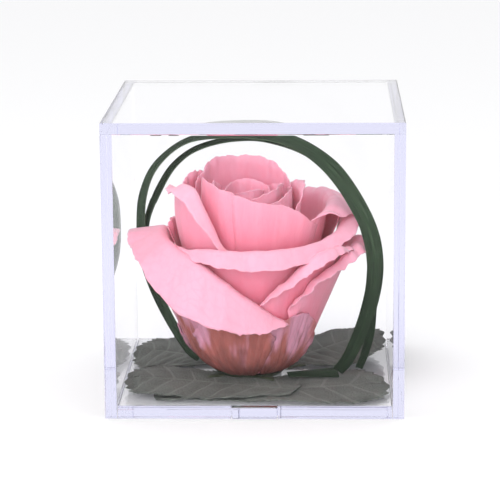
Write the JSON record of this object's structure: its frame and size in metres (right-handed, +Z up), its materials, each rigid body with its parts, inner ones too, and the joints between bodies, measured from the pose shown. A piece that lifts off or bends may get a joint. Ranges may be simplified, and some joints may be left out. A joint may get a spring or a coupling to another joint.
{
  "type": "flower box",
  "caption": "Clear acrylic display box with a lift-off cover over a base plate that carries a preserved rose bloom, rose leaves and looped grass.",
  "frame": {"origin": "middle of the box's underside", "axes": "+Z up, -Y is the front of the box, +X to the right"},
  "size_m": [0.08, 0.08, 0.08],
  "materials": {
    "acrylic": "clear polished acrylic sheet",
    "petal": "preserved rose petal, soft and velvety",
    "guard_petal": "preserved outer rose petal, browned",
    "leaf": "preserved rose leaf, matt grey-green",
    "grass": "preserved grass blade, ribbed, dark green",
    "calyx": "green hip and sepals, matt",
    "glue": "clear hot glue"
  },
  "bodies": {
    "base": {"base_plate": "acrylic", "glue_beads": "glue", "glue_pad": "glue", "grass_blade_long": "grass", "grass_blade_short": "grass", "guard_petal_back": "guard_petal", "guard_petal_back_left": "guard_petal", "guard_petal_front": "guard_petal", "guard_petal_left": "guard_petal", "guard_petal_right": "guard_petal", "heart_petal_1": "petal", "heart_petal_2": "petal", "heart_petal_3": "petal", "heart_petal_4": "petal", "leaf_back_left": "leaf", "leaf_back_right": "leaf", "leaf_front_left": "leaf", "leaf_front_right": "leaf", "petal_back_left": "petal", "petal_back_right": "petal", "petal_crown": "petal", "petal_front_right": "petal", "petal_front_rim": "petal", "petal_front_wrap": "petal", "petal_inner_right": "petal", "petal_left_sweep": "petal", "petal_lobe_right": "petal", "petal_right_flare": "petal", "petal_sash": "petal", "petal_shoulder_left": "petal", "petal_shoulder_right": "petal", "rose_hip": "calyx", "rose_sepals": "calyx"},
    "cover": {"top_plate": "acrylic", "front_wall": "acrylic", "back_wall": "acrylic", "left_wall": "acrylic", "right_wall": "acrylic"}
  },
  "joints": [
    {"name": "cover_lift", "type": "slide", "parent": "base", "child": "cover", "axis": [0, 0, 1], "range_m": [0, 0.085]}
  ]
}
